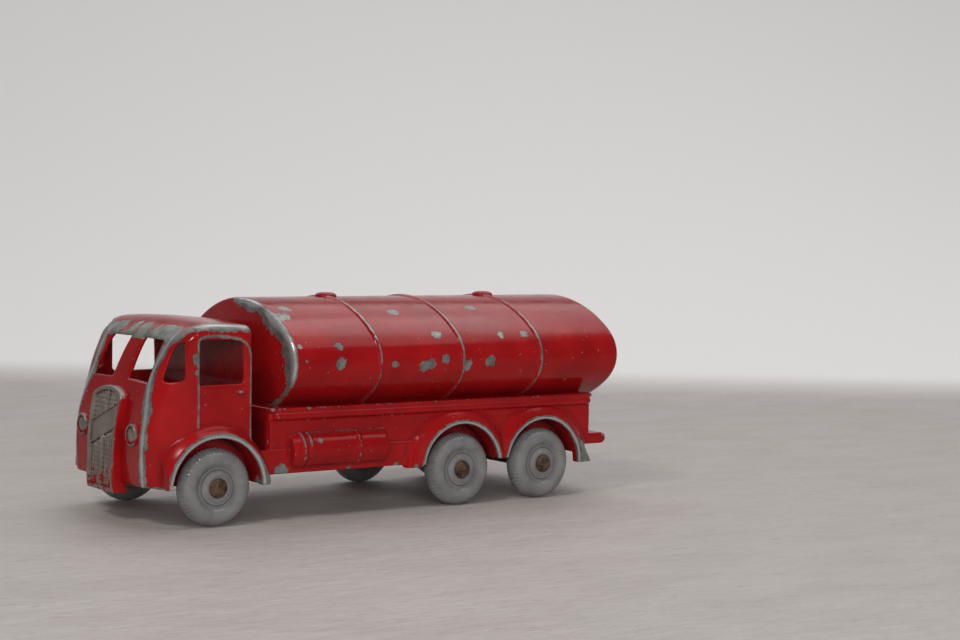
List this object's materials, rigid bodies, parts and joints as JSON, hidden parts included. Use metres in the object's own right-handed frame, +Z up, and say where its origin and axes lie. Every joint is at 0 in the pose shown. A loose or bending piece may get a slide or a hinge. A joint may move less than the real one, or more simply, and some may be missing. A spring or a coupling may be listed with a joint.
{
  "type": "tin toy tanker truck",
  "caption": "Pocket-size die-cast toy tanker lorry with an oval banded tank, hollow cab with open windows and free-rolling plastic wheels on riveted axles.",
  "frame": {"origin": "on the ground, below the middle of the overall box", "axes": "+X forward, +Y to the lorry's left, +Z up"},
  "size_m": [0.0644, 0.0266, 0.025],
  "materials": {
    "body_paint": "deep gloss red enamel, chipped to bare zinc on the edges",
    "bare_zinc": "dull grey bare die-cast zinc",
    "wheel_plastic": "smooth grey moulded plastic",
    "axle_steel": "steel browned by rust"
  },
  "bodies": {
    "body": {"cab_shell": "body_paint", "radiator_grille": "bare_zinc", "headlamp_left": "bare_zinc", "headlamp_right": "bare_zinc", "front_wing_left": "body_paint", "front_wing_right": "body_paint", "chassis_frame": "body_paint", "side_skirt_left": "body_paint", "side_skirt_right": "body_paint", "rear_wing_left": "body_paint", "rear_wing_right": "body_paint", "air_cylinder_left": "body_paint", "air_cylinder_right": "body_paint", "rear_bumper": "body_paint", "tank_barrel": "body_paint", "tank_front_end": "body_paint", "tank_rear_end": "body_paint", "tank_band_front": "body_paint", "tank_band_middle": "body_paint", "tank_band_rear": "body_paint", "filler_cap_front": "body_paint", "filler_cap_rear": "body_paint", "body_rivet_front": "bare_zinc", "body_rivet_rear": "bare_zinc"},
    "axle_front": {"axle_front": "axle_steel"},
    "axle_middle": {"axle_middle": "axle_steel"},
    "axle_rear": {"axle_rear": "axle_steel"},
    "wheel_front_left": {"wheel_front_left": "wheel_plastic"},
    "wheel_front_right": {"wheel_front_right": "wheel_plastic"},
    "wheel_middle_left": {"wheel_middle_left": "wheel_plastic"},
    "wheel_middle_right": {"wheel_middle_right": "wheel_plastic"},
    "wheel_rear_left": {"wheel_rear_left": "wheel_plastic"},
    "wheel_rear_right": {"wheel_rear_right": "wheel_plastic"}
  },
  "joints": [
    {"name": "axle_front_spin", "type": "hinge", "parent": "body", "child": "axle_front", "pos_m": [0.0238, 0, 0.0043], "axis": [0, 1, 0], "continuous": true},
    {"name": "axle_middle_spin", "type": "hinge", "parent": "body", "child": "axle_middle", "pos_m": [-0.0087, 0, 0.0043], "axis": [0, 1, 0], "continuous": true},
    {"name": "axle_rear_spin", "type": "hinge", "parent": "body", "child": "axle_rear", "pos_m": [-0.0209, 0, 0.0043], "axis": [0, 1, 0], "continuous": true},
    {"name": "wheel_front_left_spin", "type": "hinge", "parent": "axle_front", "child": "wheel_front_left", "pos_m": [0.0238, 0, 0.0043], "axis": [0, 1, 0], "continuous": true},
    {"name": "wheel_front_right_spin", "type": "hinge", "parent": "axle_front", "child": "wheel_front_right", "pos_m": [0.0238, 0, 0.0043], "axis": [0, 1, 0], "continuous": true},
    {"name": "wheel_middle_left_spin", "type": "hinge", "parent": "axle_middle", "child": "wheel_middle_left", "pos_m": [-0.0087, 0, 0.0043], "axis": [0, 1, 0], "continuous": true},
    {"name": "wheel_middle_right_spin", "type": "hinge", "parent": "axle_middle", "child": "wheel_middle_right", "pos_m": [-0.0087, 0, 0.0043], "axis": [0, 1, 0], "continuous": true},
    {"name": "wheel_rear_left_spin", "type": "hinge", "parent": "axle_rear", "child": "wheel_rear_left", "pos_m": [-0.0209, 0, 0.0043], "axis": [0, 1, 0], "continuous": true},
    {"name": "wheel_rear_right_spin", "type": "hinge", "parent": "axle_rear", "child": "wheel_rear_right", "pos_m": [-0.0209, 0, 0.0043], "axis": [0, 1, 0], "continuous": true}
  ]
}
